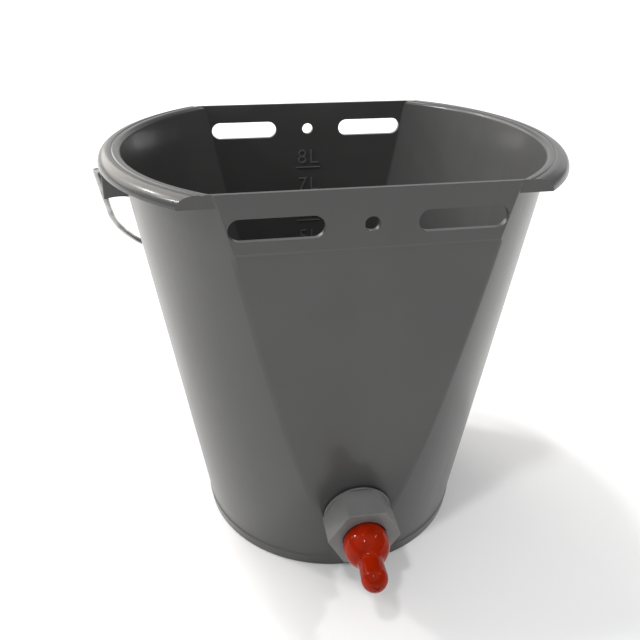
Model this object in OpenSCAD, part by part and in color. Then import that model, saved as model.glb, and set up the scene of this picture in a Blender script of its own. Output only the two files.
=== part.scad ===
// Calf feeding bucket: round-ended plastic bucket with two flat panels,
// a rubber teat on a non-return valve, and a steel wire bail.
// Millimetres, +Z up, origin at the centre of the standing face.
// +X runs along the long axis; the teat is on the -Y panel.

/* [Bucket] */
// Height from the standing face to the top of the rim
bucket_h = 277; // [240:1:320]
// Outer wall radius at the standing face
base_r = 93.6; // [85:0.1:100]
// Outer wall radius at the rim
top_r = 134.4; // [125:0.1:140]
// Distance from the centre to a flat panel at the standing face
base_y = 95.8; // [93:0.1:98]
// Distance from the centre to a flat panel at the rim
top_y = 108.5; // [104:0.1:114]
// Wall thickness of the round ends
wall = 2.3; // [2:0.1:3]
// Wall thickness of the flat panels
panel_wall = 2.8; // [2:0.1:3]
// Height of the open space under the floor
foot_h = 7.5; // [5:0.5:12]
// How far the foot bead stands proud of the wall
foot_proud = 1; // [0.5:0.1:2]
// Height of the foot bead
foot_bead_h = 9; // [6:0.5:14]

/* [Rim] */
// How far the rim reaches out past the wall
rim_reach = 11.3; // [8:0.1:13]
// Height of the rolled outer skirt
skirt_h = 7.2; // [6:0.1:10]
// Radius of the roll at the rim's outer edge
roll_r = 7; // [3:0.1:7]
// Thickness of the rim
rim_t = 2.2; // [1.6:0.1:3]

/* [Mounting bands] */
// Height of the lower edge of each band
band_z = 244.9; // [236:0.1:248]
// How far a band stands proud of its panel
band_proud = 1; // [0.8:0.1:2]
// Height of the sloping ledge under a band
band_ledge = 2.2; // [1:0.1:4]
// Height of the slot centres
slot_z = 257.6; // [252:0.1:262]
// Distance of each slot centre from the middle
slot_x = 49.6; // [40:0.1:49.8]
// Length of a slot over its round ends
slot_l = 49.6; // [30:0.1:49.8]
// Height of a slot
slot_h = 12.4; // [8:0.1:14]
// Radius of the centre hole
hole_r = 4.1; // [3:0.1:6]

/* [Bail] */
// Diameter of the bail wire
wire_d = 4; // [3:0.1:5]
// Height of the bail pivot
pivot_z = 262; // [258:0.5:264]
// Distance of each bail arm from the middle
arm_x = 148.8; // [148.4:0.1:152]
// Distance from the pivot to the middle of the bail
bail_drop = 154; // [150:1:160]
// Radius of the bail's two corners
bail_corner_r = 98; // [70:1:100]
// Angle of the hanging bail from straight down
bail_lean = 43.1; // [43:0.1:50]
// Outer face of each ear
ear_x = 144.2; // [142:0.1:145]
// Half width of an ear
ear_half_w = 15.4; // [12:0.1:18]
// Height of an ear's lower edge
ear_z = 247.3; // [244:0.1:252]

/* [Teat and valve] */
// Height of the valve on the front panel
valve_z = 51.2; // [45:0.1:70]
// Distance across the flats of the clamp nut
nut_af = 41.2; // [36:0.1:44]
// Distance from the panel to the front of the nut
nut_front = 22.5; // [21:0.1:24]
// Outer radius of the valve spigot
spigot_r = 13; // [12.5:0.1:13.5]
// Radius of the valve ball
ball_r = 6; // [5.5:0.1:6]
// How far the ball moves off its seat
ball_travel = 3.5; // [2:0.1:4]
// Largest radius of the teat bulb
bulb_r = 14.6; // [14:0.1:15]
// Radius of the teat's round tip
tip_r = 8.2; // [7:0.1:9]
// Distance from the panel to the end of the teat
teat_end = 60.5; // [58:0.5:70]

/* [Hidden] */
$fn = 96;

cone_slope = (top_r - base_r) / bucket_h;
panel_slope = (top_y - base_y) / bucket_h;
panel_tilt = atan(panel_slope);
floor_t = 2.3;
floor_z = foot_h + floor_t;
far = 400;

ear_t = 2;
ear_roof = 272;
wire_hole_r = wire_d / 2 + 0.08;
hook_x = 137.6;
hook_len = 6;
hook_bend = 3;

gasket_t = 1;
gasket_r = 23.1;
collar_t = 0.9;
collar_r = 22.6;
seal_t = 1.5;
seal_r = 18.5;
flange_t = 3;
flange_r = 20;
spigot_end = 14;
bore_gap = 0.3;
seat_hole_r = 4.5;
outlet_r = 4.8;
chamber_r = 6.6;
seat_r = 8.5;
teat_flange_t = 3;
teat_flange_r = 16.5;
teat_wall = 2.4;
bulb_t = 28;
waist_r = 7.7;
nut_cavity_r = 17;
nut_mouth_r = 13.9;
nut_turn = -2;

seal_back = -panel_wall - seal_t;
spigot_back = seal_back - flange_t;
ball_home = seal_back + sqrt(ball_r * ball_r - seat_hole_r * seat_hole_r) + 0.05;
outlet_edge = ball_home + ball_travel + sqrt(ball_r * ball_r - outlet_r * outlet_r) + 0.05;

function wall_r(z) = base_r + cone_slope * z;
function panel_y(z) = base_y + panel_slope * z;

band_y = panel_y(band_z) + band_proud;

// Moves to the valve's axis: local +Z points out of the front panel.
module on_panel() {
    translate([0, -panel_y(valve_z), valve_z]) rotate([90 + panel_tilt, 0, 0]) children();
}

// A profile drawn in (y, z), carried along X far past the bucket.
module along_x(points) {
    rotate([90, 0, 90]) linear_extrude(height = far, center = true) polygon(points);
}

// The space between the two panels, with the proud upright mounting bands.
module outer_slab() {
    ledge_z = band_z - band_ledge;
    half = [[panel_y(-foot_h), -foot_h], [panel_y(ledge_z), ledge_z],
            [band_y, band_z], [band_y, bucket_h + 5]];
    along_x(concat(half, [for (i = [3:-1:0]) [-half[i][0], half[i][1]]]));
}

// The space between two planes set in from the panels.
module inner_slab(inset) {
    low = panel_y(-foot_h) - inset;
    high = panel_y(bucket_h + 5) - inset;
    along_x([[low, -foot_h], [high, bucket_h + 5], [-high, bucket_h + 5], [-low, -foot_h]]);
}

// A cone in line with the bucket wall, set in or out from it.
module wall_cone(z0, z1, offset_r) {
    translate([0, 0, z0])
        cylinder(h = z1 - z0, r1 = wall_r(z0) + offset_r, r2 = wall_r(z1) + offset_r);
}

// Rim section: a flat top that rolls over into a short skirt.
module rim_section() {
    outer = top_r + rim_reach;
    difference() {
        union() {
            translate([top_r - wall, bucket_h - skirt_h])
                square([rim_reach + wall - roll_r, skirt_h]);
            translate([top_r - wall, bucket_h - skirt_h])
                square([rim_reach + wall, skirt_h - roll_r]);
            intersection() {
                translate([outer - roll_r, bucket_h - roll_r]) circle(r = roll_r);
                translate([top_r - wall, bucket_h - skirt_h]) square(rim_reach + wall);
            }
        }
        translate([top_r - 2 * wall, bucket_h - skirt_h - 1])
            square([rim_reach + 2 * wall - roll_r, skirt_h - rim_t + 1]);
        translate([outer - roll_r, bucket_h - roll_r]) circle(r = roll_r - rim_t);
        translate([outer - roll_r - 1, bucket_h - skirt_h - 1])
            square([roll_r - rim_t + 1, skirt_h - roll_r + 1]);
    }
}

// The rim's outline with nothing hollowed out, for the webs at its ends.
module rim_fill() {
    outer = top_r + rim_reach - rim_t / 2;
    roll = roll_r - rim_t / 2;
    intersection() {
        union() {
            translate([top_r - wall / 2, bucket_h - skirt_h])
                square([outer - roll - top_r + wall / 2, skirt_h - rim_t / 2]);
            translate([outer - roll, bucket_h - roll_r]) circle(r = roll);
        }
        translate([top_r - wall / 2, bucket_h - skirt_h]) square([2 * rim_reach, skirt_h]);
    }
}

// Webs that close the ends of the rim in the plane of each band.
module rim_webs() {
    intersection() {
        rotate_extrude() rim_fill();
        difference() {
            outer_slab();
            inner_slab(panel_wall);
        }
    }
}

// One ear: a plate and two side webs, open underneath, that holds the bail.
// Its top follows the underside of the rim.
module ear() {
    difference() {
        intersection() {
            translate([0, -ear_half_w, ear_z]) cube([ear_x, 2 * ear_half_w, bucket_h - ear_z]);
            rotate_extrude() {
                rim_fill();
                translate([top_r / 2, ear_z - 1])
                    square([top_r, bucket_h - skirt_h - ear_z + 1]);
            }
        }
        translate([0, -ear_half_w + ear_t, ear_z - 1])
            cube([ear_x - ear_t, 2 * (ear_half_w - ear_t), ear_roof - ear_z + 1]);
        translate([0, 0, ear_z - 1])
            cylinder(h = bucket_h - ear_z + 2, r1 = wall_r(ear_z - 1) - wall / 2,
                     r2 = wall_r(bucket_h + 1) - wall / 2);
        translate([ear_x - 2 * ear_t, 0, pivot_z]) rotate([0, 90, 0])
            cylinder(h = 4 * ear_t, r = wire_hole_r);
    }
}

// Two slots and a centre hole, cut square to the long axis on one side.
module band_holes() {
    for (side = [-1, 1]) {
        for (end = [-1, 1])
            translate([side * slot_x + end * (slot_l - slot_h) / 2, 0, slot_z])
                rotate([90, 0, 0]) cylinder(h = top_y + 20, r = slot_h / 2);
        translate([side * slot_x - (slot_l - slot_h) / 2, -top_y - 20, slot_z - slot_h / 2])
            cube([slot_l - slot_h, top_y + 20, slot_h]);
    }
    translate([0, 0, slot_z]) rotate([90, 0, 0]) cylinder(h = top_y + 20, r = hole_r);
}

module bucket_body() {
    color("#8d8f8d") difference() {
        union() {
            intersection() {
                union() {
                    wall_cone(0, bucket_h, 0);
                    rotate_extrude() rim_section();
                }
                outer_slab();
            }
            rim_webs();
            cylinder(h = foot_bead_h, r1 = base_r + foot_proud, r2 = wall_r(foot_bead_h) + foot_proud / 2);
            for (side = [0, 1]) mirror([side, 0, 0]) ear();
        }
        intersection() {
            wall_cone(floor_z, bucket_h + 5, -wall);
            inner_slab(panel_wall);
        }
        translate([0, 0, -1]) cylinder(h = foot_h + 1, r = base_r - wall);
        for (turn = [0, 180]) rotate([0, 0, turn]) band_holes();
        on_panel() translate([0, 0, -10]) cylinder(h = 20, r = spigot_r + bore_gap);
    }
}

// One arm, corner and half of the middle of the bail, in the XZ plane,
// with the pivot axis on X and the bail hanging straight down.
module bail_half() {
    wire_r = wire_d / 2;
    arm_len = bail_drop - bail_corner_r;
    turn_x = arm_x - hook_bend;
    // Hook end inside the ear, turned up
    translate([hook_x, 0, 0]) cylinder(h = hook_len, r = wire_r);
    translate([hook_x, 0, 0]) sphere(r = wire_r);
    // Pin through the ear
    translate([hook_x, 0, 0]) rotate([0, 90, 0]) cylinder(h = turn_x - hook_x, r = wire_r);
    // Bend from the pin down into the arm
    translate([turn_x, 0, -hook_bend]) rotate([90, 0, 0])
        rotate_extrude(angle = 90) translate([hook_bend, 0]) circle(r = wire_r);
    translate([arm_x, 0, -arm_len]) cylinder(h = arm_len - hook_bend, r = wire_r);
    translate([arm_x - bail_corner_r, 0, -arm_len]) rotate([-90, 0, 0])
        rotate_extrude(angle = 90) translate([bail_corner_r, 0]) circle(r = wire_r);
    translate([0, 0, -bail_drop]) rotate([0, 90, 0])
        cylinder(h = arm_x - bail_corner_r, r = wire_r);
}

module bail_wire() {
    color("#c9ccd0") translate([0, 0, pivot_z]) rotate([bail_lean, 0, 0])
        for (side = [0, 1]) mirror([side, 0, 0]) bail_half();
}

// Hex nut with a thin round collar behind and a seat in front for the teat's flange.
module clamp_nut() {
    color("#a3a5a4") on_panel() difference() {
        union() {
            translate([0, 0, gasket_t]) cylinder(h = collar_t, r = collar_r);
            intersection() {
                translate([0, 0, gasket_t]) rotate([0, 0, nut_turn])
                    cylinder(h = nut_front - gasket_t, r = nut_af / 2 / cos(30), $fn = 6);
                union() {
                    translate([0, 0, gasket_t]) cylinder(h = collar_t, r = collar_r);
                    translate([0, 0, gasket_t + collar_t])
                        cylinder(h = 1, r1 = collar_r, r2 = collar_r + 2);
                    translate([0, 0, gasket_t + collar_t + 1])
                        cylinder(h = nut_front, r = nut_af);
                }
            }
        }
        translate([0, 0, -1]) cylinder(h = nut_front + 5, r = nut_mouth_r);
        translate([0, 0, -1]) cylinder(h = spigot_end + 1, r = spigot_r + 0.05);
        translate([0, 0, spigot_end - 0.5])
            cylinder(h = teat_flange_t + 0.5, r = nut_cavity_r);
    }
}

module panel_gasket() {
    color("#1c1c1c") on_panel() difference() {
        cylinder(h = gasket_t, r = gasket_r);
        translate([0, 0, -1]) cylinder(h = gasket_t + 2, r = spigot_r + bore_gap);
    }
}

module inner_seal() {
    color("#1c1c1c") on_panel() translate([0, 0, seal_back]) difference() {
        cylinder(h = seal_t, r = seal_r);
        translate([0, 0, -1]) cylinder(h = seal_t + 2, r = spigot_r + bore_gap);
    }
}

// Flanged tube through the panel, with the ball chamber and notched outlet.
module valve_spigot() {
    color("#a3a5a4") on_panel() difference() {
        union() {
            translate([0, 0, spigot_back]) cylinder(h = flange_t, r = flange_r);
            translate([0, 0, spigot_back]) cylinder(h = spigot_end - spigot_back, r = spigot_r);
        }
        translate([0, 0, spigot_back - 1]) cylinder(h = flange_t + 1, r = seat_r);
        translate([0, 0, seal_back]) cylinder(h = outlet_edge - seal_back, r = chamber_r);
        cylinder(h = spigot_end + 1, r = outlet_r);
        for (turn = [45, 135]) rotate([0, 0, turn])
            translate([-chamber_r, -1.5, outlet_edge - 1]) cube([2 * chamber_r, 3, spigot_end]);
    }
}

module valve_seat() {
    color("#8d8f8d") on_panel() translate([0, 0, spigot_back]) difference() {
        cylinder(h = flange_t, r = seat_r);
        translate([0, 0, -1]) cylinder(h = flange_t + 2, r = seat_hole_r);
    }
}

module valve_ball() {
    color("#e8e6df") on_panel() translate([0, 0, ball_home]) sphere(r = ball_r);
}

// Section of the teat in (radius, distance from the panel): a round bulb
// that starts inside the nut, a waist, and a nipple with a round end.
module teat_section(inset) {
    tip_t = teat_end - tip_r;
    difference() {
        union() {
            translate([0, bulb_t]) circle(r = bulb_r - inset);
            translate([0, bulb_t]) square([waist_r - inset, tip_t - bulb_t]);
            translate([0, tip_t]) circle(r = tip_r - inset);
            polygon([[0, bulb_t], [waist_r - inset, bulb_t + bulb_r],
                     [tip_r - inset, tip_t], [0, tip_t]]);
        }
        translate([-far, bulb_t - far]) square([far, 2 * far]);
        translate([-1, bulb_t - far - (inset > 0 ? bulb_r : bulb_t - nut_front)])
            square([far, far]);
    }
}

module teat() {
    neck_r = nut_mouth_r - 0.4;
    color("#c02a10") on_panel() difference() {
        union() {
            rotate_extrude() teat_section(0);
            translate([0, 0, spigot_end]) cylinder(h = nut_front - spigot_end + 0.2, r = neck_r);
            translate([0, 0, spigot_end]) cylinder(h = teat_flange_t, r = teat_flange_r);
        }
        rotate_extrude() teat_section(teat_wall);
        translate([0, 0, spigot_end - 1]) cylinder(h = bulb_t - spigot_end, r = neck_r - teat_wall);
    }
}

bucket_body();
bail_wire();
clamp_nut();
panel_gasket();
inner_seal();
valve_spigot();
valve_seat();
valve_ball();
teat();
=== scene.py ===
"""Calf feeding bucket: its visible pieces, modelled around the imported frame.

The frame gives the bodies, the joints and every node's place. Each piece here is
modelled at its real place in metres and rides on one of the frame's bodies.
"""
import math

import bmesh
import bpy
from bpy.props import FloatProperty, FloatVectorProperty, IntProperty, PointerProperty
from mathutils import Matrix, Vector


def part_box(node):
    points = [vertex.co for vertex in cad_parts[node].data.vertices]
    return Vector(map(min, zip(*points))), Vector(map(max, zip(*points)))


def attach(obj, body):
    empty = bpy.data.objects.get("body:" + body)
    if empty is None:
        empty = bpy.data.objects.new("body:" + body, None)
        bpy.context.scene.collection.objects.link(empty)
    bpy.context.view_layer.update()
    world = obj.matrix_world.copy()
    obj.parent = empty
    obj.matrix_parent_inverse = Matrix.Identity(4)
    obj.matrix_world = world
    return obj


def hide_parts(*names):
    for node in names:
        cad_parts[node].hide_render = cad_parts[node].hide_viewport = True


bl_info = {
    "name": "Calf Feeding Bucket",
    "version": (1, 0, 0),
    "blender": (4, 5, 0),
    "location": "View3D > Sidebar > Feeding Bucket",
    "description": "Models a round-ended feeding bucket with a valved teat and a wire bail",
    "category": "Add Mesh",
}

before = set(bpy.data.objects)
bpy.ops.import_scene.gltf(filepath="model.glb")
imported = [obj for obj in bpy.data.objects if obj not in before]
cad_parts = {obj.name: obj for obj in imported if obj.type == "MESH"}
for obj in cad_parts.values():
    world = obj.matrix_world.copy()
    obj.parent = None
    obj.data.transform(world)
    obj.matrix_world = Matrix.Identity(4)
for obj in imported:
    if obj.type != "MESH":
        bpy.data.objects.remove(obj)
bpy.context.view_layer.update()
BUCKET_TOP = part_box("bucket_body")[1].z
RIM_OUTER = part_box("bucket_body")[1].x
MM = 0.001
FULL_TURN = 2 * math.pi
VALVE_BORE = 0.0133


def length(name, description, default, soft_max=0.4):
    """A length property in metres, shown in the scene's units."""
    return FloatProperty(name=name, description=description, default=default, min=0.0,
                         soft_max=soft_max, subtype="DISTANCE", unit="LENGTH", precision=4)


def colour(name, description, default):
    """A colour property without alpha."""
    return FloatVectorProperty(name=name, description=description, default=default, min=0.0,
                               max=1.0, size=3, subtype="COLOR")


class BucketSettings(bpy.types.PropertyGroup):
    """Sizes and colour of the moulded bucket."""
    height: length("Height", "Standing face to the top of the rim", BUCKET_TOP)
    base_radius: length("Base radius", "Outer wall radius at the standing face", 0.0936)
    top_radius: length("Top radius", "Outer wall radius at the rim", 0.1344)
    base_depth: length("Base half depth", "Centre to a panel at the standing face", 0.0958)
    top_depth: length("Top half depth", "Centre to a panel at the rim", 0.1085)
    wall: length("Wall", "Thickness of the round ends", 0.0023, 0.01)
    panel_wall: length("Panel wall", "Thickness of the flat panels", 0.0028, 0.01)
    crease: length("Crease", "Width of the rounding where the panels meet the ends", 0.002, 0.01)
    edge: length("Edge", "Rounding of the bands' ends and lower edges", 0.0004, 0.005)
    top_edge: length("Top edge", "Rounding of the bands' top edges", 0.0009, 0.005)
    slot_edge: length("Slot edge", "Rounding of the slots' and holes' edges", 0.0002, 0.002)
    flare: length("Flare", "Radius of the rim's inner edge on the round ends", 0.003, 0.01)
    rim_radius: length("Rim radius", "Outer radius of the rolled rim", RIM_OUTER)
    roll: length("Rim roll", "Radius of the roll at the rim's edge", 0.007, 0.02)
    skirt: length("Rim skirt", "Height of the rim's skirt", 0.0072, 0.02)
    band_height: length("Band height", "Height of a mounting band's lower edge", 0.2449)
    band_proud: length("Band step", "How far a mounting band stands proud", 0.001, 0.01)
    ledge: length("Band ledge", "Height of the slope under a band", 0.0022, 0.01)
    slot_height: length("Slot height", "Height of the slot centres", 0.2576)
    slot_spread: length("Slot spread", "Middle to a slot's centre", 0.0496)
    slot_length: length("Slot length", "Length of a slot over its round ends", 0.0496)
    slot_width: length("Slot width", "Height of a slot's opening", 0.0124)
    hole_radius: length("Hole radius", "Radius of the centre hole", 0.0041, 0.02)
    foot: length("Foot height", "Open height under the floor", 0.0075, 0.02)
    floor: length("Floor", "Thickness of the floor", 0.0023, 0.01)
    sides: IntProperty(name="Sides", description="Steps round the bucket", default=256, min=32)
    plastic: colour("Plastic", "Moulded grey polypropylene", (0.058, 0.058, 0.0575))


class FittingSettings(bpy.types.PropertyGroup):
    """Sizes and colours of the nut, the teat, the seals and the bail."""
    valve_height: length("Valve height", "Height of the valve's axis on the panel", 0.0512)
    nut_flats: length("Nut size", "Distance across the nut's flats", 0.0412, 0.1)
    collar: length("Nut collar", "Radius of the round collar behind the nut", 0.0226, 0.1)
    gasket: length("Gasket", "Thickness of the ring under the nut", 0.001, 0.01)
    nut_front: length("Nut front", "Panel to the front of the nut", 0.0225, 0.1)
    nut_mouth: length("Nut mouth", "Radius of the opening in the nut", 0.0139, 0.05)
    bulb_radius: length("Bulb radius", "Radius of the teat's round bulb", 0.0146, 0.05)
    bulb_reach: length("Bulb reach", "Panel to the centre of the bulb", 0.028, 0.1)
    teat_turn: FloatProperty(name="Teat turn", description="How far the teat leans to one side",
                             default=math.radians(2.2), subtype="ANGLE", unit="ROTATION")
    waist_radius: length("Waist radius", "Narrowest radius of the nipple", 0.0077, 0.05)
    tip_radius: length("Tip radius", "Radius of the nipple's round end", 0.0082, 0.05)
    teat_end: length("Teat end", "Panel to the end of the teat", 0.0605, 0.2)
    pivot_height: length("Pivot height", "Height of the bail's pivot", 0.262)
    wire_radius: length("Wire radius", "Radius of the bail wire", 0.002, 0.01)
    arm_spread: length("Arm spread", "Middle to a bail arm", 0.1488)
    bail_drop: length("Bail drop", "Pivot to the middle of the bail", 0.154)
    bail_corner: length("Bail corner", "Radius of the bail's corners", 0.098)
    bail_lean: FloatProperty(name="Bail lean", description="Bail's angle from straight down",
                             default=math.radians(43.1), subtype="ANGLE", unit="ROTATION")
    nut_plastic: colour("Nut plastic", "Satin grey plastic", (0.155, 0.155, 0.154))
    red_rubber: colour("Red rubber", "Glossy red rubber", (0.285, 0.012, 0.0006))
    black_rubber: colour("Black rubber", "Black seal rubber", (0.010, 0.010, 0.010))
    steel: colour("Steel", "Galvanised steel wire", (0.38, 0.38, 0.375))


class StageSettings(bpy.types.PropertyGroup):
    """Floor and light."""
    floor: colour("Floor", "Plain pale floor", (0.93, 0.93, 0.93))
    sky: FloatProperty(name="Sky light", description="Strength of the soft sky", default=0.26)
    ceiling: FloatProperty(name="Ceiling light", description="Strength of the soft light above",
                           default=1.2)
    lamps: FloatProperty(name="Ceiling lamps", description="Strength of each small lamp above",
                         default=0.6)
    key: FloatProperty(name="Side light", description="Power of the side softbox in watts",
                       default=24.0)
    inside: FloatProperty(name="Inside lamp", description="Power of the lamp into the bucket",
                          default=24.0)


# ---------------------------------------------------------------- modelling helpers


def select_only(*objects):
    """Selects these objects and nothing else; the first becomes active."""
    bpy.ops.object.select_all(action="DESELECT")
    for each in objects:
        each.select_set(True)
    bpy.context.view_layer.objects.active = objects[0]


class Shaping:
    """Edit mode on one piece: `with Shaping(piece) as edit:`, then pick and call operators."""

    def __init__(self, piece):
        self.piece = piece

    def __enter__(self):
        select_only(self.piece)
        bpy.ops.object.mode_set(mode="EDIT")
        bpy.ops.mesh.select_all(action="DESELECT")
        return self

    def __exit__(self, *_):
        bpy.ops.object.mode_set(mode="OBJECT")

    def pick(self, kind, test):
        """Selects the VERT, EDGE or FACE elements that pass test, and counts them."""
        bpy.ops.mesh.select_mode(type=kind)
        bpy.ops.mesh.select_all(action="DESELECT")
        mesh = bmesh.from_edit_mesh(self.piece.data)
        group = {"VERT": mesh.verts, "EDGE": mesh.edges, "FACE": mesh.faces}[kind]
        chosen = [each for each in group if test(each)]
        for each in chosen:
            each.select_set(True)
        mesh.select_flush_mode()
        bmesh.update_edit_mesh(self.piece.data)
        return len(chosen)

    def all(self):
        bpy.ops.mesh.select_all(action="SELECT")


def settle(piece, name):
    """Puts a piece's place into its mesh, names it and leaves its object at the origin."""
    select_only(piece)
    bpy.ops.object.transform_apply(location=True, rotation=True, scale=True)
    piece.name = name
    piece.data.name = name
    return piece


def use_modifier(piece, kind, **settings):
    """Adds a modifier with these settings and applies it."""
    select_only(piece)
    modifier = piece.modifiers.new(kind.title(), kind)
    for key, value in settings.items():
        setattr(modifier, key, value)
    bpy.ops.object.modifier_apply(modifier=modifier.name)


def combine(piece, tool, operation):
    """Unites, subtracts or intersects a tool with a piece, and removes the tool."""
    use_modifier(piece, "BOOLEAN", operation=operation, object=tool, solver="EXACT")
    bpy.data.objects.remove(tool)


def clean(piece, outwards=True):
    """Merges doubles, drops slivers and turns the faces outwards."""
    with Shaping(piece) as edit:
        edit.all()
        bpy.ops.mesh.remove_doubles(threshold=0.002 * MM)
        bpy.ops.mesh.dissolve_degenerate(threshold=0.001 * MM)
        bpy.ops.mesh.delete_loose(use_faces=False)
        if outwards:
            edit.all()
            bpy.ops.mesh.normals_make_consistent(inside=False)


def smooth(piece, degrees):
    """Smooth shading with flat faces kept flat."""
    select_only(piece)
    bpy.ops.object.shade_smooth_by_angle(angle=math.radians(degrees))
    use_modifier(piece, "WEIGHTED_NORMAL", keep_sharp=True, weight=80)


def arc(centre, radius, start, end, steps):
    """Points of an arc in (radius, height), angles in degrees."""
    points = []
    for step in range(steps + 1):
        angle = math.radians(start + (end - start) * step / steps)
        points.append((centre[0] + radius * math.cos(angle),
                       centre[1] + radius * math.sin(angle)))
    return points


def revolve(name, section, steps):
    """Spins a closed section of (radius, height) points about Z into a solid."""
    bpy.ops.mesh.primitive_circle_add(vertices=len(section), radius=1.0)
    piece = bpy.context.object
    for vertex, (radius, height) in zip(piece.data.vertices, section):
        vertex.co = (radius, 0, height)
    with Shaping(piece) as edit:
        edit.all()
        bpy.ops.mesh.spin(steps=steps, angle=FULL_TURN, center=(0, 0, 0), axis=(0, 0, 1),
                          use_auto_merge=True)
    clean(piece)
    return settle(piece, name)


def cone(name, sides, low, high, low_radius, high_radius):
    """A solid cone about Z between two heights."""
    bpy.ops.mesh.primitive_cone_add(vertices=sides, radius1=low_radius, radius2=high_radius,
                                    depth=high - low, location=(0, 0, (low + high) / 2))
    return settle(bpy.context.object, name)


def prism(name, outline, along):
    """A prism: a flat outline of points, extruded along a direction."""
    bpy.ops.mesh.primitive_circle_add(vertices=len(outline), fill_type="NGON")
    piece = bpy.context.object
    for vertex, point in zip(piece.data.vertices, outline):
        vertex.co = point
    with Shaping(piece) as edit:
        edit.all()
        bpy.ops.mesh.extrude_region_move(TRANSFORM_OT_translate={"value": along})
        edit.all()
        bpy.ops.mesh.normals_make_consistent(inside=False)
    return settle(piece, name)


def slice_off(piece, point, normal):
    """Cuts away what lies beyond a plane and closes the cut."""
    with Shaping(piece) as edit:
        edit.all()
        bpy.ops.mesh.bisect(plane_co=point, plane_no=normal, use_fill=True, clear_outer=True)


def onto_panel(piece, settings, fittings):
    """Turns a piece modelled about Z so that +Z points out of the front panel at the valve."""
    slope = (settings.top_depth - settings.base_depth) / settings.height
    height = fittings.valve_height
    depth = settings.base_depth + slope * height
    select_only(piece)
    turn = Matrix.Rotation(math.radians(90) + math.atan(slope), 4, "X")
    piece.matrix_world = Matrix.Translation((0, -depth, height)) @ turn @ piece.matrix_world
    return settle(piece, piece.name)


def finish_piece(piece, body, material, replaced=()):
    """Gives a piece its material and body, and hides the nodes it stands for."""
    piece.data.materials.clear()
    piece.data.materials.append(material)
    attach(piece, body)
    if replaced:
        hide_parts(*replaced)
    return piece


# ---------------------------------------------------------------- shader helpers


class Flow:
    """A node socket that takes part in Python expressions."""

    def __init__(self, material, socket):
        self.material = material
        self.socket = socket

    def _math(self, operation, first, second):
        return self.material.add("ShaderNodeMath", {"operation": operation},
                                 {0: first, 1: second})

    def __add__(self, other):
        return self._math("ADD", self, other)

    def __radd__(self, other):
        return self._math("ADD", other, self)

    def __sub__(self, other):
        return self._math("SUBTRACT", self, other)

    def __rsub__(self, other):
        return self._math("SUBTRACT", other, self)

    def __mul__(self, other):
        return self._math("MULTIPLY", self, other)

    def __rmul__(self, other):
        return self._math("MULTIPLY", other, self)

    def above(self, low, high):
        """0 below low, 1 above high, smooth between."""
        return self.material.add("ShaderNodeMapRange",
                                 {"interpolation_type": "SMOOTHSTEP", "clamp": True},
                                 {"Value": self, "From Min": low, "From Max": high}, "Result")


class Finish:
    """One procedural material and the nodes that make it."""

    def __init__(self, name, **constants):
        self.material = bpy.data.materials.new(name)
        self.material.use_nodes = True
        self.tree = self.material.node_tree
        self.shader = self.tree.nodes["Principled BSDF"]
        for key, value in constants.items():
            socket = self.shader.inputs[key.replace("_", " ")]
            socket.default_value = (*value, 1.0) if isinstance(value, tuple) else value
        self.place = self.add("ShaderNodeTexCoord", {}, {}, "Object")

    def add(self, kind, settings, values, output=0):
        """A node of this kind, its settings first, then the values or links of its sockets."""
        node = self.tree.nodes.new(kind)
        for key, value in settings.items():
            setattr(node, key, value)
        for key, value in values.items():
            if isinstance(value, Flow):
                self.tree.links.new(value.socket, node.inputs[key])
            else:
                node.inputs[key].default_value = value
        return Flow(self, node.outputs[output])

    def stretched(self, scale):
        """Object coordinates scaled along each axis."""
        return self.add("ShaderNodeMapping", {}, {"Vector": self.place, "Scale": scale})

    def noise(self, scale, detail=2.0, roughness=0.5, vector=None):
        return self.add("ShaderNodeTexNoise", {},
                        {"Vector": vector or self.place, "Scale": scale, "Detail": detail,
                         "Roughness": roughness}, "Fac")

    def cells(self, scale):
        return self.add("ShaderNodeTexVoronoi", {"feature": "F1"},
                        {"Vector": self.place, "Scale": scale}, "Distance")

    def blend(self, mask, first, second):
        """Goes from the first colour to the second as mask goes from 0 to 1."""
        def as_input(value):
            return (*value, 1.0) if isinstance(value, tuple) else value
        return self.add("ShaderNodeMix", {"data_type": "RGBA"},
                        {"Factor": mask, "A": as_input(first), "B": as_input(second)}, 2)

    def feed(self, socket, flow):
        self.tree.links.new(flow.socket, self.shader.inputs[socket])

    def bump(self, *layers):
        """Stacks (height, distance, strength) layers and feeds the shader's normal."""
        normal = None
        for height, distance, strength in layers:
            values = {"Height": height, "Distance": distance, "Strength": strength}
            if normal:
                values["Normal"] = normal
            normal = self.add("ShaderNodeBump", {}, values)
        self.feed("Normal", normal)


def shade(tint, factor):
    """A colour made lighter or darker."""
    return tuple(channel * factor for channel in tint)


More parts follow.
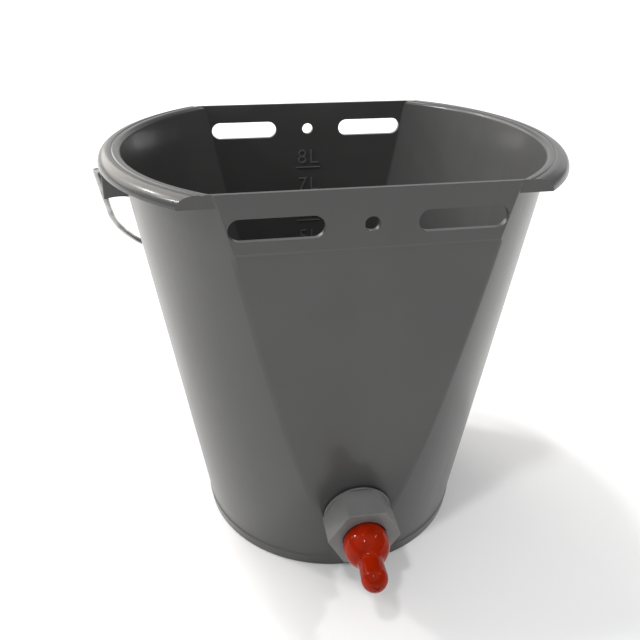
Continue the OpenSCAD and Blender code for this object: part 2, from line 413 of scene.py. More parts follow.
def moulded_plastic(tint):
    """Glossy polypropylene with flow marks, orange peel, light rubbing and faint dust."""
    finish = Finish("moulded_grey_plastic", Base_Color=tint, IOR=1.49, Coat_Roughness=0.12,
                    Specular_IOR_Level=0.4)
    cloud = finish.noise(9.0, 3.0, 0.55)
    flow = finish.noise(5.0, 4.0, 0.6, finish.stretched((6.0, 6.0, 0.8)))
    speck = finish.noise(900.0, 2.0, 0.6)
    tone = finish.blend(cloud.above(0.3, 0.75), shade(tint, 0.93), shade(tint, 1.08))
    tone = finish.blend(flow.above(0.45, 0.8) * 0.35, tone, shade(tint, 1.22))
    scratch = finish.noise(38.0, 3.0, 0.6, finish.stretched((1.0, 1.0, 14.0)))
    rubbed = scratch.above(0.66, 0.74) * cloud.above(0.48, 0.68)
    tone = finish.blend(rubbed * 0.22, tone, shade(tint, 2.0))
    finish.feed("Base Color", tone)
    finish.feed("Roughness", 0.235 + flow * 0.09 + rubbed * 0.18 + speck * 0.05)
    finish.feed("Coat Weight", 0.2 - rubbed * 0.15)
    finish.bump((finish.noise(14.0, 1.0, 0.4), 0.0012, 0.30),
                (finish.noise(260.0, 2.0, 0.5), 0.00022, 0.22),
                (scratch, 0.0002, 0.12),
                (speck, 0.00006, 0.25))
    return finish.material


def satin_plastic(name, tint):
    """Satin moulded plastic with a fine spark texture."""
    finish = Finish(name, Base_Color=tint, IOR=1.49)
    grain = finish.cells(1900.0)
    cloud = finish.noise(60.0, 3.0, 0.6)
    finish.feed("Base Color", finish.blend(cloud.above(0.35, 0.7), shade(tint, 0.94),
                                           shade(tint, 1.07)))
    finish.feed("Roughness", 0.36 + cloud * 0.12)
    finish.bump((cloud, 0.0004, 0.15), (grain, 0.00007, 0.35))
    return finish.material


def glossy_rubber(tint):
    """Red latex rubber: glossy and a little uneven in tone."""
    finish = Finish("red_rubber", Base_Color=tint, IOR=1.45, Specular_IOR_Level=0.11,
                    Coat_Roughness=0.04)
    cloud = finish.noise(110.0, 3.0, 0.55)
    pores = finish.noise(2400.0, 2.0, 0.6)
    finish.feed("Base Color", finish.blend(cloud.above(0.3, 0.75), shade(tint, 0.82),
                                           shade(tint, 1.12)))
    finish.feed("Roughness", 0.045 + cloud * 0.05)
    finish.bump((finish.noise(150.0, 2.0, 0.5), 0.0002, 0.18), (pores, 0.00002, 0.2))
    return finish.material


def seal_rubber(tint):
    """Matt black rubber with a fine bloom."""
    finish = Finish("black_rubber", Base_Color=tint, IOR=1.5)
    bloom = finish.noise(420.0, 4.0, 0.65)
    finish.feed("Base Color", finish.blend(bloom.above(0.5, 0.8) * 0.5, tint, shade(tint, 2.6)))
    finish.feed("Roughness", 0.5 + bloom * 0.25)
    finish.bump((bloom, 0.00006, 0.3))
    return finish.material


def galvanised_wire(tint):
    """Drawn zinc-coated wire: bright, with dull patches and drawing lines."""
    finish = Finish("galvanised_wire", Base_Color=tint, Metallic=1.0)
    patch = finish.noise(70.0, 4.0, 0.6)
    grain = finish.noise(1500.0, 2.0, 0.6)
    finish.feed("Base Color", finish.blend(patch.above(0.4, 0.7), shade(tint, 1.15),
                                           shade(tint, 0.82)))
    finish.feed("Roughness", 0.20 + patch.above(0.35, 0.7) * 0.18 + grain * 0.06)
    finish.bump((patch, 0.0002, 0.15), (grain, 0.00004, 0.3))
    return finish.material


def finishes():
    """The materials by name, made once."""
    if not MATERIALS:
        settings = bpy.context.scene.bucket_settings
        fittings = bpy.context.scene.fitting_settings
        MATERIALS.update({
            "bucket_plastic": moulded_plastic(tuple(settings.plastic)),
            # The litre marks' grey, made 1.9 times lighter: a painted highlight that stands in for
            # light catching the raised marks' edges.
            "highlight_painted_plastic": satin_plastic("highlight_painted_grey_plastic", shade(settings.plastic, 1.9)),
            "nut_plastic": satin_plastic("satin_grey_plastic", tuple(fittings.nut_plastic)),
            "ball_plastic": satin_plastic("white_ball_plastic", (0.72, 0.70, 0.64)),
            "red_rubber": glossy_rubber(tuple(fittings.red_rubber)),
            "black_rubber": seal_rubber(tuple(fittings.black_rubber)),
            "wire_steel": galvanised_wire(tuple(fittings.steel)),
        })
    return MATERIALS


MATERIALS = {}


# ---------------------------------------------------------------- the moulded bucket


class Walls:
    """The bucket's lines: round ends, flat panels, and the proud mounting bands."""

    def __init__(self, settings):
        self.s = settings
        self.cone_slope = (settings.top_radius - settings.base_radius) / settings.height
        self.panel_slope = (settings.top_depth - settings.base_depth) / settings.height

    def radius(self, height):
        return self.s.base_radius + self.cone_slope * height

    def depth(self, height):
        return self.s.base_depth + self.panel_slope * height

    def band(self):
        """Depth of a band's upright face."""
        return self.depth(self.s.band_height) + self.s.band_proud

    def rim_end(self):
        """Depth of the rim's cut ends, a small step behind the band's face."""
        return self.band() - MM

    def prism(self, name, outline, side):
        """A prism along X with this outline of (depth, height)."""
        return prism(name, [(-0.2, side * depth, z) for depth, z in outline], (0.4, 0, 0))

    def panel_tool(self, side):
        """Cuts away all beyond one panel's outer face and the rim's cut ends."""
        low, ledge, over = -0.02, self.s.band_height - self.s.ledge, self.s.height + 0.02
        outline = [(self.depth(low), low), (self.depth(ledge), ledge)]
        outline += [(self.rim_end(), self.s.height - self.s.skirt - MM), (self.rim_end(), over)]
        return self.prism("panel_tool", outline + [(0.25, over), (0.25, low)], side)

    def band_solid(self, side):
        """One mounting band with its sloping ledge, a hair proud of the wall at its ends."""
        s = self.s
        face, slope = self.band(), (s.band_proud + self.panel_slope * s.ledge) * 1.3
        foot = s.band_height - 1.3 * s.ledge
        top = s.height - 0.02 * MM
        outline = [(face, s.band_height), (face, top), (face - 0.0022, top)]
        outline += [(face - 0.0022, foot), (face - slope, foot)]
        hair = 0.03 * MM
        band = cone("band", s.sides, foot - 0.01, s.height + 0.01,
                    self.radius(foot - 0.01) + hair, self.radius(s.height + 0.01) + hair)
        combine(band, self.prism("band_prism", outline, side), "INTERSECT")
        with Shaping(band) as edit:
            def face_edge(edge, low, high):
                heights = [v.co.z for v in edge.verts]
                on_face = all(self.on_band(v) for v in edge.verts)
                return (on_face and edge.calc_face_angle(0) > 0.3
                        and min(heights) > low and max(heights) < high)
            edit.pick("EDGE", lambda e: face_edge(e, top - 0.01 * MM, top + MM))
            bpy.ops.mesh.bevel(offset=s.top_edge, segments=4, affect="EDGES")
            edit.pick("EDGE", lambda e: face_edge(e, 0, s.height - 0.5 * MM))
            bpy.ops.mesh.bevel(offset=s.edge, segments=3, affect="EDGES")
        return band

    def on_panel(self, vertex, inset=0.0):
        """Whether a vertex lies on a panel's plane, or on the plane set in from it."""
        plane = self.depth(vertex.co.z) - inset
        return abs(abs(vertex.co.y) - plane) < 0.02 * MM

    def on_band(self, vertex):
        upright = abs(abs(vertex.co.y) - self.band()) < 0.02 * MM
        return upright and vertex.co.z > self.s.band_height - 0.02 * MM


def outer_solid(walls):
    """The bucket's filled outside: foot bead, wall and rolled rim, cut flat at both panels."""
    s = walls.s
    top, rim = s.height, s.rim_radius
    skirt_z = top - s.skirt
    bead_top, bead = 0.009, 0.001
    section = [(0, 0), (s.base_radius + bead - 0.0008, 0), (s.base_radius + bead, 0.0008)]
    section += [(walls.radius(bead_top) + bead * 0.6, bead_top - 0.0009)]
    section += [(walls.radius(bead_top) + bead * 0.3, bead_top - 0.0002)]
    section += [(walls.radius(bead_top + 0.0008), bead_top + 0.0008)]
    section += [(walls.radius(skirt_z), skirt_z)]
    section += [(rim - 0.0004, skirt_z), (rim - 0.0001, skirt_z + 0.0001)]
    section += arc((rim - s.roll, top - s.roll), s.roll, 0, 90, 12)
    groove = rim - s.roll - 0.0016
    for step, depth in ((0.8, 0), (0.45, 0.28), (0.15, 0.42), (-0.15, 0.42), (-0.45, 0.28), (-0.8, 0)):
        section += [(groove + step * MM, top - depth * MM)]
    section += [(s.top_radius - 2 * s.wall, top), (0, top)]
    solid = revolve("bucket_shell", section, s.sides)
    for side in (-1, 1):
        combine(solid, walls.panel_tool(side), "DIFFERENCE")
    clean(solid)
    with Shaping(solid) as edit:
        def is_crease(edge):
            a, b = edge.verts
            upright = abs(a.co.z - b.co.z) > 0.2 * abs(a.co.x - b.co.x)
            return (upright and walls.on_panel(a) and walls.on_panel(b)
                    and min(a.co.z, b.co.z) > 0.03 and edge.calc_face_angle(0) > 0.05)
        edit.pick("EDGE", is_crease)
        bpy.ops.mesh.bevel(offset=s.crease, segments=4, affect="EDGES")
    return solid


def inside_tool(walls):
    """The bucket's hollow, with rounded creases and a rounded floor edge."""
    s = walls.s
    floor_z, floor_edge, top = s.foot + s.floor, 0.004, s.height
    mouth_z = top - s.flare
    mouth = walls.radius(mouth_z) - s.wall
    section = [(0, floor_z), (walls.radius(floor_z) - s.wall, floor_z), (mouth, mouth_z)]
    section += arc((mouth + s.flare, mouth_z), s.flare, 180, 90, 8)[1:]
    section += [(mouth + s.flare, top + 0.01), (0, top + 0.01)]
    tool = revolve("inside", section, s.sides)
    for side in (-1, 1):
        slice_off(tool, (0, side * (walls.depth(0) - s.panel_wall), 0),
                  (0, side, -walls.panel_slope))
    with Shaping(tool) as edit:
        def is_rounded(edge):
            a, b = edge.verts
            at_floor = max(a.co.z, b.co.z) < floor_z + 0.01 * MM
            return at_floor and edge.calc_face_angle(0) > 0.5
        edit.pick("EDGE", is_rounded)
        bpy.ops.mesh.bevel(offset=floor_edge, segments=5, affect="EDGES")
        def is_crease(edge):
            a, b = edge.verts
            inner = walls.on_panel(a, s.panel_wall) and walls.on_panel(b, s.panel_wall)
            tall = abs(a.co.z - b.co.z) > 0.01
            return inner and tall and edge.calc_face_angle(0) > 0.05
        edit.pick("EDGE", is_crease)
        bpy.ops.mesh.bevel(offset=s.crease / 2, segments=3, affect="EDGES")
    return tool


def rim_channel_tool(walls):
    """The hollow under the rim, stopped short of the webs at its four ends."""
    s = walls.s
    thick = 0.0022
    rim, top = s.rim_radius, s.height
    inner = s.roll - thick
    low = top - s.skirt - 0.001
    section = [(walls.radius(low), low), (rim - thick, low), (rim - thick, top - s.roll)]
    section += arc((rim - s.roll, top - s.roll), inner, 8, 90, 6)
    section += [(walls.radius(top - thick), top - thick)]
    tool = revolve("channel", section, s.sides)
    for side in (-1, 1):
        slice_off(tool, (0, side * (walls.depth(0) - s.panel_wall), 0),
                  (0, side, -walls.panel_slope))
    return tool


def slot_tool(settings, middle, side):
    """A cutter with round ends for one slot."""
    radius = settings.slot_width / 2
    shift = settings.slot_length / 2 - radius
    corners = 48
    bpy.ops.mesh.primitive_cylinder_add(
        vertices=corners, radius=radius, depth=0.04,
        location=(middle, side * settings.top_depth, settings.slot_height),
        rotation=(math.radians(90), math.pi / corners, 0))
    tool = settle(bpy.context.object, "slot")
    with Shaping(tool) as edit:
        for end in (-1, 1):
            edit.pick("VERT", lambda v: (v.co.x - middle) * end > 0
                      and abs(v.co.x - middle) < radius + 0.01 * MM)
            bpy.ops.transform.translate(value=(end * shift, 0, 0))
    return tool


def ear_solid(walls, fittings):
    """One ear: a plate with two side webs, open underneath, with an arched lower edge."""
    s = walls.s
    half, outer = 0.0154, 0.1442
    low, high = 0.2473, s.height - s.skirt + 0.0035
    thick, deep = 0.002, 0.025
    bpy.ops.mesh.primitive_cube_add(size=1.0, location=(outer - deep / 2, 0, (low + high) / 2),
                                    scale=(deep, 2 * half, high - low))
    ear = settle(bpy.context.object, "ear")
    with Shaping(ear) as edit:
        edit.pick("EDGE", lambda e: min(v.co.x for v in e.verts) > outer - 0.1 * MM
                  and abs(e.verts[0].co.z - e.verts[1].co.z) > MM)
        bpy.ops.mesh.bevel(offset=0.0012, segments=4, affect="EDGES")
    bpy.ops.mesh.primitive_cube_add(size=1.0,
                                    location=(outer - thick - 0.02, 0, (low + high) / 2 - 0.005),
                                    scale=(0.04, 2 * (half - thick), high - low - 0.001))
    combine(ear, settle(bpy.context.object, "ear_hollow"), "DIFFERENCE")
    # A shallow arch along the lower edge of the side webs
    bpy.ops.mesh.primitive_cylinder_add(vertices=96, radius=0.030, depth=0.1,
                                        location=(0.1345, 0, low - 0.0288),
                                        rotation=(math.radians(90), 0, 0))
    combine(ear, settle(bpy.context.object, "arch"), "DIFFERENCE")
    bpy.ops.mesh.primitive_cylinder_add(vertices=32, radius=fittings.wire_radius + 0.08 * MM,
                                        depth=0.01, location=(outer, 0, fittings.pivot_height),
                                        rotation=(0, math.radians(90), 0))
    combine(ear, settle(bpy.context.object, "wire_hole"), "DIFFERENCE")
    return ear


def round_slot_edges(shell, walls):
    """Breaks the sharp edges of the slots, as the mould does."""
    s = walls.s

    def is_slot_edge(edge):
        inside = all(abs(v.co.z - s.slot_height) < s.slot_width / 2 + 0.05 * MM
                     and walls.on_band(v) for v in edge.verts)
        return inside and len(edge.link_faces) == 2 and edge.calc_face_angle(0) > 1.0

    with Shaping(shell) as edit:
        edit.pick("EDGE", is_slot_edge)
        bpy.ops.mesh.bevel(offset=s.slot_edge, segments=4, affect="EDGES")


def moulded_shell(settings, fittings):
    """The whole moulding: outside less inside, rim channel, slots, foot and valve hole."""
    walls = Walls(settings)
    shell = outer_solid(walls)
    combine(shell, rim_channel_tool(walls), "DIFFERENCE")
    for side in (-1, 1):
        ear = ear_solid(walls, fittings)
        if side < 0:
            with Shaping(ear) as edit:
                edit.all()
                bpy.ops.transform.rotate(value=math.pi, orient_axis="Z",
                                         center_override=(0, 0, 0))
        combine(shell, ear, "UNION")
    for side in (-1, 1):
        combine(shell, walls.band_solid(side), "UNION")
    combine(shell, inside_tool(walls), "DIFFERENCE")
    recess = cone("recess", settings.sides, -0.01, settings.foot,
                  settings.base_radius - settings.wall, settings.base_radius - settings.wall)
    combine(shell, recess, "DIFFERENCE")
    for side in (-1, 1):
        for end in (-1, 1):
            combine(shell, slot_tool(settings, end * settings.slot_spread, side), "DIFFERENCE")
        bpy.ops.mesh.primitive_cylinder_add(
            vertices=48, radius=settings.hole_radius, depth=0.04,
            location=(0, side * settings.top_depth, settings.slot_height),
            rotation=(math.radians(90), 0, 0))
        combine(shell, settle(bpy.context.object, "hole"), "DIFFERENCE")
    bpy.ops.mesh.primitive_cylinder_add(vertices=64, radius=VALVE_BORE, depth=0.03)
    valve_hole = onto_panel(bpy.context.object, settings, fittings)
    combine(shell, valve_hole, "DIFFERENCE")
    clean(shell, outwards=False)
    round_slot_edges(shell, walls)
    smooth(shell, 30)
    return shell


def litre_marks(settings):
    """Raised litre numbers and lines on the inside of the back panel."""
    walls = Walls(settings)
    eight_litre_z, litre_step = 0.2269, 0.02225
    digit_height, proud = 0.0113, 0.0007
    tilt = math.atan(walls.panel_slope)
    pieces = []
    for litre in range(2, 9):
        line_z = eight_litre_z - (8 - litre) * litre_step
        bpy.ops.object.text_add(location=(0, 0, 0))
        text = bpy.context.object
        text.data.body = f"{litre}L"
        text.data.align_x = "CENTER"
        text.data.size = digit_height / 0.7
        text.data.extrude = proud
        text.data.space_character = 1.15
        text.data.offset = -0.00018
        bpy.ops.object.convert(target="MESH")
        mark = bpy.context.object
        bpy.ops.mesh.primitive_cube_add(size=1.0, location=(0, -0.0032, 0),
                                        scale=(0.0192, 0.0007, 2 * proud))
        line = settle(bpy.context.object, "line")
        with Shaping(line) as edit:
            edit.pick("FACE", lambda f: f.normal.z > 0.9)
            bpy.ops.mesh.bevel(offset=0.00015, segments=2, affect="EDGES")
        select_only(mark, line)
        bpy.ops.object.join()
        z = line_z + 0.0032
        turn = Matrix.Rotation(math.radians(90) - tilt, 4, "X")
        back = walls.depth(z) - settings.panel_wall
        mark.matrix_world = Matrix.Translation((0, back, z)) @ turn
        pieces.append(settle(mark, "litre_mark"))
    select_only(*pieces)
    bpy.ops.object.join()
    marks = settle(bpy.context.object, "litre_marks")
    clean(marks)
    smooth(marks, 30)
    return marks


# ---------------------------------------------------------------- nut, teat, seals, bail


def hex_nut(fittings):
    """The clamp nut: six flats, a round collar behind and a stepped bore."""
    back, front = fittings.gasket, fittings.nut_front
    collar, collar_top = fittings.collar, fittings.gasket + 0.0009
    corner = fittings.nut_flats / 2 / math.cos(math.radians(30))
    bpy.ops.mesh.primitive_cylinder_add(vertices=6, radius=corner, depth=front - back,
                                        location=(0, 0, (front + back) / 2),
                                        rotation=(0, 0, math.radians(88)))
    nut = settle(bpy.context.object, "hex_nut")
    with Shaping(nut) as edit:
        edit.pick("EDGE", lambda e: e.calc_length() > MM)
        bpy.ops.mesh.bevel(offset=0.0005, segments=3, affect="EDGES")
    turned = [(0, back - MM), (collar - 0.0002, back - MM), (collar - 0.0002, collar_top)]
    turned += [(corner + 0.0008, collar_top + 0.0012), (corner + 0.0008, front + MM)]
    turned += [(0, front + MM)]
    combine(nut, revolve("turned", turned, 192), "INTERSECT")
    rim = [(0, back), (collar - 0.0002, back), (collar, back + 0.0002)]
    rim += [(collar, collar_top - 0.0003), (collar - 0.0003, collar_top), (0, collar_top)]
    combine(nut, revolve("collar", rim, 192), "UNION")
    mouth, thread, recess = fittings.nut_mouth, 0.01305, 0.017
    low, high = 0.0135, 0.017
    bore = [(0, back - MM), (thread, back - MM), (thread, low), (recess, low)]
    bore += [(recess, high), (mouth, high), (mouth, front - 0.0006)]
    bore += [(mouth + 0.0002, front - 0.0002), (mouth + 0.0007, front)]
    bore += [(mouth + 0.0007, front + MM), (0, front + MM)]
    combine(nut, revolve("bore", bore, 128), "DIFFERENCE")
    clean(nut, outwards=False)
    smooth(nut, 28)
    return nut


def rubber_teat(fittings):
    """The teat: flange and neck in the nut, round bulb, waisted nipple and a cross cut."""
    bulb, bulb_z = fittings.bulb_radius, fittings.bulb_reach
    tip, waist = fittings.tip_radius, fittings.waist_radius
    end, skin = fittings.teat_end, 0.0024
    tip_z = end - tip
    neck = fittings.nut_mouth - 0.0004
    flange, flange_z, flange_top = 0.0165, 0.014, 0.017

    def profile(inset):
        """The bulb, the fillet at the waist and the nipple, from the nut outwards."""
        ball = bulb - inset
        stem, point = waist - inset, tip - inset
        fillet = 0.0036 + inset
        reach = math.sqrt((ball + fillet) ** 2 - (stem + fillet) ** 2)
        join = math.degrees(math.atan2(reach, stem + fillet))
        start = -math.degrees(math.asin(min(1.0, (bulb_z - fittings.nut_front + 0.0006) / ball)))
        line = arc((0, bulb_z), ball, start, join, 20)
        line += arc((stem + fillet, bulb_z + reach), fillet, 180 + join, 180, 8)[1:]
        line += arc((0, tip_z), point, 0, 90, 14)
        return line

    outside = [(flange, flange_z), (flange, flange_top - 0.0004), (flange - 0.0004, flange_top)]
    outside += [(neck, flange_top), (neck, fittings.nut_front - 0.002)]
    outside += profile(0)
    inside = profile(skin)
    inside[-1] = (0, inside[-1][1])
    outside[-1] = (0, outside[-1][1])
    section = outside + inside[::-1] + [(neck - skin, fittings.nut_front - 0.002),
                                        (neck - skin, flange_z)]
    teat = revolve("rubber_teat", section, 128)
    for turn in (45, 135):
        bpy.ops.mesh.primitive_cube_add(size=1.0, location=(0, 0, end),
                                        rotation=(0, 0, math.radians(turn)),
                                        scale=(0.0055, 0.00035, 0.0012))
        combine(teat, settle(bpy.context.object, "cut"), "DIFFERENCE")
    clean(teat, outwards=False)
    lean_from = fittings.nut_front - 0.002
    with Shaping(teat) as edit:
        edit.pick("VERT", lambda v: v.co.z > lean_from + 0.01 * MM)
        bpy.ops.transform.rotate(value=fittings.teat_turn, orient_axis="Y",
                                 center_override=(0, 0, lean_from))
    smooth(teat, 40)
    return teat


def rubber_ring(name, inner, outer, back, thick):
    """A flat rubber ring with rounded outer corners."""
    corner = 0.3 * thick
    section = [(inner, back), (outer - corner, back)]
    section += arc((outer - corner, back + corner), corner, -90, 0, 4)[1:]
    section += arc((outer - corner, back + thick - corner), corner, 0, 90, 4)
    section += [(inner, back + thick)]
    ring = revolve(name, section, 128)
    smooth(ring, 40)
    return ring


class WirePath:
    """Draws a wire by extruding and spinning a ring of edges from where it stands."""

    def __init__(self, name, start, direction, radius):
        self.point = Vector(start)
        self.heading = Vector(direction).normalized()
        bpy.ops.mesh.primitive_circle_add(vertices=20, radius=radius)
        self.wire = bpy.context.object
        turn = self.heading.to_track_quat("Z", "Y").to_matrix().to_4x4()
        self.wire.matrix_world = Matrix.Translation(self.point) @ turn
        settle(self.wire, name)
        select_only(self.wire)
        bpy.ops.object.mode_set(mode="EDIT")
        bpy.ops.mesh.select_mode(type="VERT")
        bpy.ops.mesh.select_all(action="SELECT")

    def straight(self, distance):
        step = self.heading * distance
        bpy.ops.mesh.extrude_region_move(TRANSFORM_OT_translate={"value": step})
        self.point += step
        return self

    def bend(self, degrees, radius, towards, steps):
        """Bends towards a direction square to the wire."""
        towards = Vector(towards).normalized()
        centre = self.point + towards * radius
        axis = self.heading.cross(towards)
        bpy.ops.mesh.spin(steps=steps, angle=-math.radians(degrees), center=centre, axis=axis)
        turn = Matrix.Rotation(math.radians(degrees), 3, axis)
        self.point = centre + turn @ (self.point - centre)
        self.heading = turn @ self.heading
        return self

    def close(self):
        bpy.ops.object.mode_set(mode="OBJECT")
        return self.wire


def bail(fittings):
    """The wire bail, bent in one run from hook to hook and hung at its rest angle."""
    radius = fittings.wire_radius
    arm, drop, corner = fittings.arm_spread, fittings.bail_drop, fittings.bail_corner
    pin_x, hook, bend = 0.1376, 0.006, 0.003
    down, up = Vector((0, 0, -1)), Vector((0, 0, 1))
    left, right = Vector((-1, 0, 0)), Vector((1, 0, 0))
    path = WirePath("bail_handle", (pin_x, 0, hook), down, radius)
    path.straight(hook - bend).bend(90, bend, right, 6).straight(arm - pin_x - 2 * bend)
    path.bend(90, bend, down, 6).straight(drop - corner - bend)
    path.bend(90, corner, left, 40).straight(2 * (arm - corner)).bend(90, corner, up, 40)
    path.straight(drop - corner - bend).bend(90, bend, right, 6)
    path.straight(arm - pin_x - 2 * bend).bend(90, bend, up, 6).straight(hook - bend)
    wire = path.close()
    with Shaping(wire) as edit:
        edit.pick("EDGE", lambda e: e.is_boundary)
        bpy.ops.mesh.fill_holes(sides=0)
        edit.pick("FACE", lambda f: len(f.verts) > 4)
        bpy.ops.mesh.bevel(offset=0.0005, segments=3, affect="EDGES")
        edit.all()
        bpy.ops.mesh.normals_make_consistent(inside=False)
    wire.matrix_world = (Matrix.Translation((0, 0, fittings.pivot_height))
                         @ Matrix.Rotation(fittings.bail_lean, 4, "X"))
    settle(wire, "bail_handle")
    smooth(wire, 50)
    return wire


# ---------------------------------------------------------------- operators


class FEEDER_OT_shell(bpy.types.Operator):
    """Model the moulded bucket"""
    bl_idname = "feeder.shell"
    bl_label = "Moulded Bucket"

    def execute(self, context):
        shell = moulded_shell(context.scene.bucket_settings, context.scene.fitting_settings)
        finish_piece(shell, "bucket", finishes()["bucket_plastic"],
                     ["bucket_body"])
        return {"FINISHED"}


class FEEDER_OT_marks(bpy.types.Operator):
    """Add the raised litre marks inside the back panel"""
    bl_idname = "feeder.marks"
    bl_label = "Litre Marks"

    def execute(self, context):
        marks = litre_marks(context.scene.bucket_settings)
        # The marks take the lighter grey, which is a painted highlight.
        finish_piece(marks, "bucket", finishes()["highlight_painted_plastic"])
        return {"FINISHED"}


class FEEDER_OT_nut(bpy.types.Operator):
    """Model the hex nut that clamps the teat"""
    bl_idname = "feeder.nut"
    bl_label = "Clamp Nut"

    def execute(self, context):
        settings, fittings = context.scene.bucket_settings, context.scene.fitting_settings
        nut = onto_panel(hex_nut(fittings), settings, fittings)
        finish_piece(nut, "bucket", finishes()["nut_plastic"], ["clamp_nut"])
        return {"FINISHED"}


class FEEDER_OT_teat(bpy.types.Operator):
    """Model the red rubber teat"""
    bl_idname = "feeder.teat"
    bl_label = "Teat"

    def execute(self, context):
        settings, fittings = context.scene.bucket_settings, context.scene.fitting_settings
        teat = onto_panel(rubber_teat(fittings), settings, fittings)
        finish_piece(teat, "bucket", finishes()["red_rubber"], ["teat"])
        return {"FINISHED"}


class FEEDER_OT_seals(bpy.types.Operator):
    """Model the rubber rings on both sides of the panel"""
    bl_idname = "feeder.seals"
    bl_label = "Seals"

    def execute(self, context):
        settings, fittings = context.scene.bucket_settings, context.scene.fitting_settings
        gasket_radius, seal_radius, seal = 0.0231, 0.0185, 0.0015
        seal_back = -settings.panel_wall - seal
        rings = (("outer_ring", gasket_radius, 0.0, fittings.gasket, "panel_gasket"),
                 ("inner_ring", seal_radius, seal_back, seal, "inner_seal"))
        for name, outer, back, thick, node in rings:
            ring = onto_panel(rubber_ring(name, VALVE_BORE, outer, back, thick), settings, fittings)
            finish_piece(ring, "bucket", finishes()["black_rubber"], [node])
        return {"FINISHED"}


class FEEDER_OT_bail(bpy.types.Operator):
    """Model the steel wire bail"""
    bl_idname = "feeder.bail"
    bl_label = "Wire Bail"

    def execute(self, context):
        wire = bail(context.scene.fitting_settings)
        finish_piece(wire, "bail", finishes()["wire_steel"], ["bail_wire"])
        return {"FINISHED"}


class FEEDER_OT_valve(bpy.types.Operator):
    """Give the valve's own parts their finishes"""
    bl_idname = "feeder.valve"
    bl_label = "Valve Parts"

    def execute(self, context):
        looks = {"valve_spigot": "nut_plastic", "valve_seat": "nut_plastic",
                 "valve_ball": "ball_plastic"}
        for node, look in looks.items():
            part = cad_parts[node]
            part.data.materials.clear()
            part.data.materials.append(finishes()[look])
        return {"FINISHED"}


def facing(place, target):
    """The turn that points a lamp at a place towards a target."""
    return (Vector(target) - Vector(place)).to_track_quat("-Z", "Y").to_euler()


def add_softbox(name, place, target, width, height, power, tint=(1.0, 1.0, 1.0)):
    """An area light at a place, facing a target."""
    bpy.ops.object.light_add(type="AREA", location=place)
    lamp = bpy.context.object
    lamp.name = name
    lamp.data.shape = "RECTANGLE"
    lamp.data.size = width
    lamp.data.size_y = height
    lamp.data.energy = power
    lamp.data.color = tint
    lamp.rotation_euler = facing(place, target)
    return lamp


def add_spot(name, place, target, power, degrees, softness):
    """A round lamp with a soft edge, aimed at a target."""
    bpy.ops.object.light_add(type="SPOT", location=place)
    lamp = bpy.context.object
    lamp.name = name
    lamp.data.energy = power
    lamp.data.spot_size = math.radians(degrees)
    lamp.data.spot_blend = 1.0
    lamp.data.shadow_soft_size = softness
    lamp.rotation_euler = facing(place, target)
    return lamp


def add_far_light(name, direction, strength, degrees):
    """A light far away in a direction, as wide as this angle."""
    bpy.ops.object.light_add(type="SUN")
    light = bpy.context.object
    light.name = name
    light.data.energy = strength
    light.data.angle = math.radians(degrees)
    light.rotation_euler = Vector(direction).to_track_quat("Z", "Y").to_euler()
    return light


class FEEDER_OT_stage(bpy.types.Operator):
    """Set up the floor, the soft light and the camera"""
    bl_idname = "feeder.stage"
    bl_label = "Stage"

    def execute(self, context):
        stage = context.scene.stage_settings
        bpy.ops.mesh.primitive_plane_add(size=60.0, location=(0, 0, 0))
        floor = settle(bpy.context.object, "studio_floor")
        paint = Finish("pale_floor", Base_Color=tuple(stage.floor), Roughness=0.9,
                       Specular_IOR_Level=0.1)
        floor.data.materials.append(paint.material)
        sky = bpy.data.worlds.new("soft_sky")
        sky.use_nodes = True
        background = sky.node_tree.nodes["Background"]
        background.inputs["Color"].default_value = (1.0, 1.0, 1.0, 1.0)
        background.inputs["Strength"].default_value = stage.sky
        context.scene.world = sky
        middle = (0, 0, 0.15)
        add_far_light("ceiling_light", (-0.27, -0.18, 0.94), stage.ceiling, 106)
        lamps = ((-0.70, 0.44, 0.56), (-0.26, 0.26, 0.93), (-0.28, -0.29, 0.91),
                 (0.67, 0.01, 0.74))
        for direction in lamps:
            add_far_light("ceiling_lamp", direction, stage.lamps, 5)
        add_softbox("side_softbox", (-1.25, 1.3, 1.25), middle, 1.9, 1.7, stage.key,
                    (1.0, 0.95, 0.88))
        back = add_softbox("back_softbox", (0.4, 2.4, 0.8), middle, 5.0, 0.9, stage.key * 0.38)
        back.visible_camera = False
        right_end = (0.125, 0, 0.22)
        add_spot("inside_lamp", (-0.55, 0, 0.60), right_end, stage.inside, 24, 0.06)
        add_camera(context)
        return {"FINISHED"}


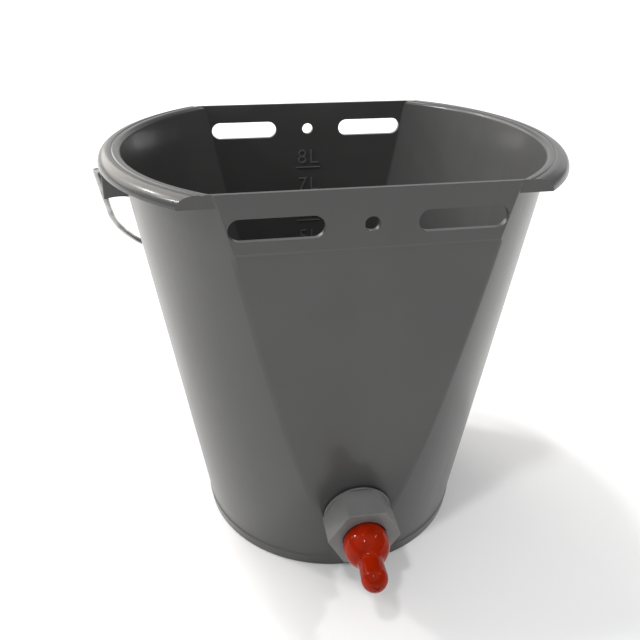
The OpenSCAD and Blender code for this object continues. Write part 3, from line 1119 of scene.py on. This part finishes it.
def add_camera(context):
    """The camera: a little left of and above the bucket, looking down at it."""
    yaw, pitch, roll = 0.190, -0.459, 0.011
    sensor, focal_in_frames = 36.0, 682.58 / 640
    bpy.ops.object.camera_add(location=(-0.0853, -0.4275, 0.3830))
    camera = bpy.context.object
    camera.name = "view_camera"
    forward = Vector((math.sin(yaw) * math.cos(pitch), math.cos(yaw) * math.cos(pitch),
                      math.sin(pitch)))
    level = Vector((math.cos(yaw), -math.sin(yaw), 0))
    rise = level.cross(forward)
    right = math.cos(roll) * level + math.sin(roll) * rise
    up = math.cos(roll) * rise - math.sin(roll) * level
    camera.matrix_world = Matrix.Translation(camera.location) @ Matrix(
        (right, up, -forward)).transposed().to_4x4()
    camera.data.sensor_width = sensor
    camera.data.lens = sensor * focal_in_frames
    camera.data.shift_x = -0.0108
    camera.data.shift_y = -0.0486
    camera.data.clip_start = 0.01
    context.scene.camera = camera
    context.scene.view_settings.view_transform = "Standard"


class FEEDER_PT_panel(bpy.types.Panel):
    """The feeder's operators and sizes in the sidebar"""
    bl_idname = "FEEDER_PT_panel"
    bl_label = "Feeding Bucket"
    bl_space_type = "VIEW_3D"
    bl_region_type = "UI"
    bl_category = "Feeding Bucket"

    def draw(self, context):
        for operator in OPERATORS:
            self.layout.operator(operator.bl_idname)
        for group in (context.scene.bucket_settings, context.scene.fitting_settings,
                      context.scene.stage_settings):
            for name in group.__annotations__:
                self.layout.prop(group, name)


OPERATORS = (FEEDER_OT_stage, FEEDER_OT_shell, FEEDER_OT_marks, FEEDER_OT_nut, FEEDER_OT_teat,
             FEEDER_OT_seals, FEEDER_OT_bail, FEEDER_OT_valve)
GROUPS = {"bucket_settings": BucketSettings, "fitting_settings": FittingSettings,
          "stage_settings": StageSettings}


def register():
    for group in GROUPS.values():
        bpy.utils.register_class(group)
    for name, group in GROUPS.items():
        setattr(bpy.types.Scene, name, PointerProperty(type=group))
    for each in (*OPERATORS, FEEDER_PT_panel):
        bpy.utils.register_class(each)


def unregister():
    for each in (FEEDER_PT_panel, *reversed(OPERATORS)):
        bpy.utils.unregister_class(each)
    for name, group in GROUPS.items():
        delattr(bpy.types.Scene, name)
        bpy.utils.unregister_class(group)


def main():
    register()
    bpy.ops.feeder.stage()
    bpy.ops.feeder.shell()
    bpy.ops.feeder.marks()
    bpy.ops.feeder.nut()
    bpy.ops.feeder.teat()
    bpy.ops.feeder.seals()
    bpy.ops.feeder.bail()
    bpy.ops.feeder.valve()


if __name__ == "__main__":
    main()
